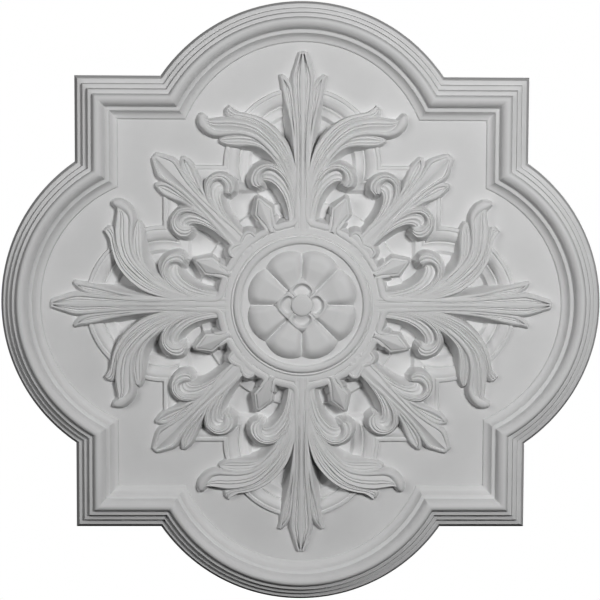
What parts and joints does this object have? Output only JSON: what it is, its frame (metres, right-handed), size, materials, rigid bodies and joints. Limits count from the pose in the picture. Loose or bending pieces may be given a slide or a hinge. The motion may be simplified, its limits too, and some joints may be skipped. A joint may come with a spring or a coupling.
{
  "type": "ceiling rose",
  "caption": "Cast ceiling rose: a quatrefoil over a square with a stepped border, leaf sprays over sunk strapwork, and a round hub with a petalled rosette.",
  "frame": {"origin": "middle of the flat back, which is fixed to the ceiling", "axes": "+Z out of the back, up into the ceiling; the ornament faces -Z, down into the room; X and Y run through the middles of the four round lobes"},
  "size_m": [0.79, 0.79, 0.0405],
  "materials": {
    "primed_polyurethane": "matt white primer on rigid polyurethane foam"
  },
  "bodies": {
    "root": {"ceiling_rose": "primed_polyurethane"}
  },
  "joints": []
}
